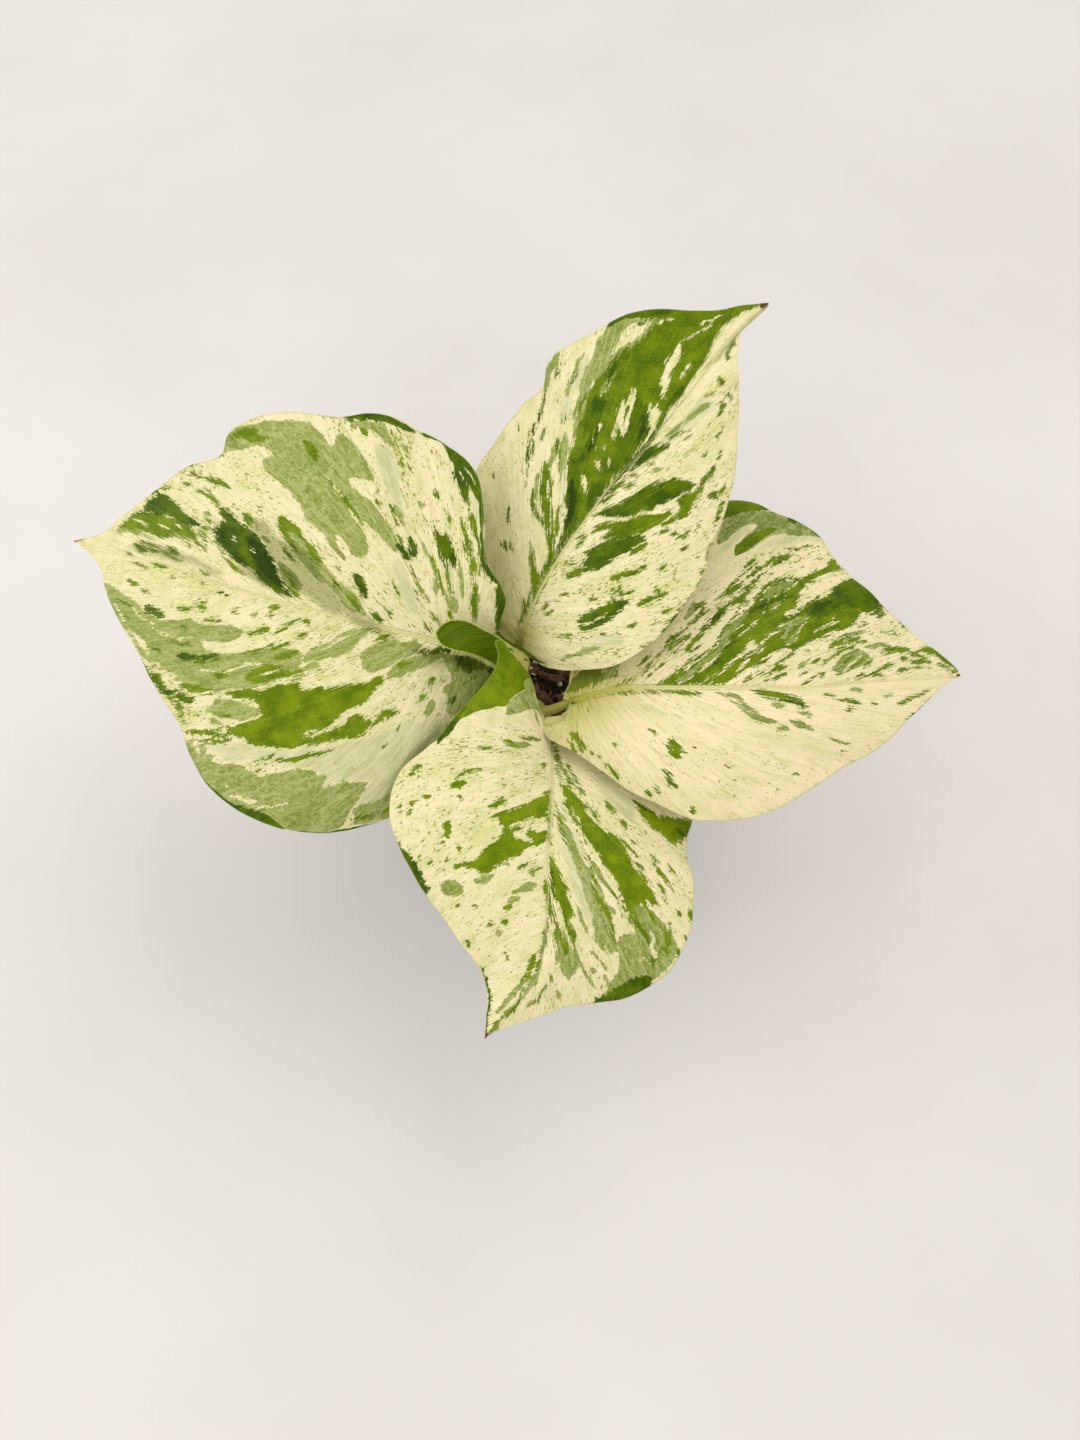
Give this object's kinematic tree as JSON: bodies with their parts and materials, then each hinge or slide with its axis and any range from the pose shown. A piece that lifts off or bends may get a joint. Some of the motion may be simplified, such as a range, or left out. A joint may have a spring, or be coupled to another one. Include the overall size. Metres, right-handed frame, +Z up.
{
  "type": "potted pothos plant",
  "caption": "Young trailing houseplant with broad heart-shaped leaves marbled in cream and green, standing in a round black nursery pot.",
  "frame": {"origin": "middle of the pot's foot, on the surface that it stands on", "axes": "+Z up along the pot's axis; -Y towards the front leaf and the viewer, +X to the viewer's right"},
  "size_m": [0.2428, 0.1697, 0.1685],
  "materials": {
    "pot_plastic": "satin",
    "potting_mix": "matte",
    "stem": "satin",
    "leaf": "satin",
    "young_leaf": "satin"
  },
  "bodies": {
    "root": {"pot": "pot_plastic", "potting_mix": "potting_mix", "stem": "stem", "petiole_left": "stem", "petiole_top": "stem", "petiole_right": "stem", "petiole_front": "stem", "leaf_left": "leaf", "leaf_top": "leaf", "leaf_right": "leaf", "leaf_front": "leaf", "young_leaf": "young_leaf"}
  },
  "joints": []
}
